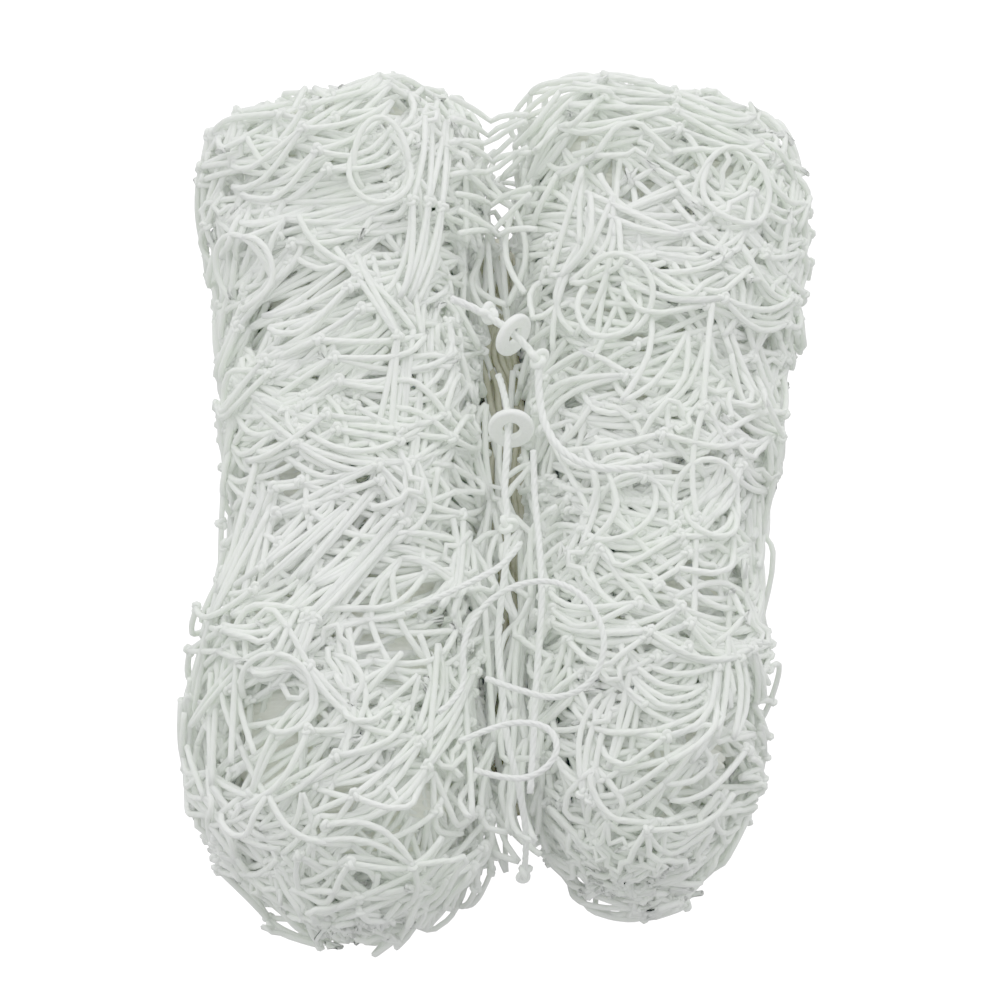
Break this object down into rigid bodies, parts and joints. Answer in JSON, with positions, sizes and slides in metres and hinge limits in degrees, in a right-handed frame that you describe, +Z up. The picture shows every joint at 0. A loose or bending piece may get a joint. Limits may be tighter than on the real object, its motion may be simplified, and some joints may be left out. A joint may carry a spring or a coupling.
{
  "type": "knotted sports net",
  "caption": "White knotted tennis or court net, gathered and wound into a two-part bundle for storage, with border cords and moulded rings in the valley between the halves.",
  "frame": {"origin": "on the surface the net lies on, under the middle of the bundle", "axes": "+X across the two halves, +Y along them towards the far end, +Z up out of the valley between them"},
  "size_m": [0.2161, 0.3, 0.1163],
  "materials": {
    "netting_twine": "twisted white polyethylene twine, slightly glossy",
    "border_cord": "braided white polyethylene cord, slightly glossy",
    "ring_plastic": "moulded natural white plastic, slightly see-through"
  },
  "bodies": {
    "net_bundle": {"back_fold": "netting_twine", "crossing_bar": "netting_twine", "head_cord": "border_cord", "head_cord_knots": "border_cord", "left_border_cords": "border_cord", "left_bottom_wrap": "netting_twine", "left_inner_turns": "netting_twine", "left_lower_wrap": "netting_twine", "left_mesh_knots": "netting_twine", "left_middle_wrap": "netting_twine", "left_top_wrap": "netting_twine", "left_upper_wrap": "netting_twine", "right_border_cords": "border_cord", "right_bottom_wrap": "netting_twine", "right_inner_turns": "netting_twine", "right_lower_wrap": "netting_twine", "right_mesh_knots": "netting_twine", "right_middle_wrap": "netting_twine", "right_top_wrap": "netting_twine", "right_upper_wrap": "netting_twine", "selvedge_cord": "border_cord", "side_cord": "border_cord", "side_cord_knots": "border_cord", "small_loop": "netting_twine", "wide_loop": "netting_twine"},
    "upper_ring": {"upper_ring": "ring_plastic"},
    "lower_ring": {"lower_ring": "ring_plastic"}
  },
  "joints": [
    {"name": "upper_ring_swing", "type": "hinge", "parent": "net_bundle", "child": "upper_ring", "pos_m": [0.0042, 0.0405, 0.0998], "axis": [0.7201, -0.6866, 0.1004], "range_deg": [-35, 35]},
    {"name": "lower_ring_swing", "type": "hinge", "parent": "net_bundle", "child": "lower_ring", "pos_m": [0.0026, 0.0095, 0.0955], "axis": [-0.0217, -0.976, 0.2169], "range_deg": [0, 40]}
  ]
}
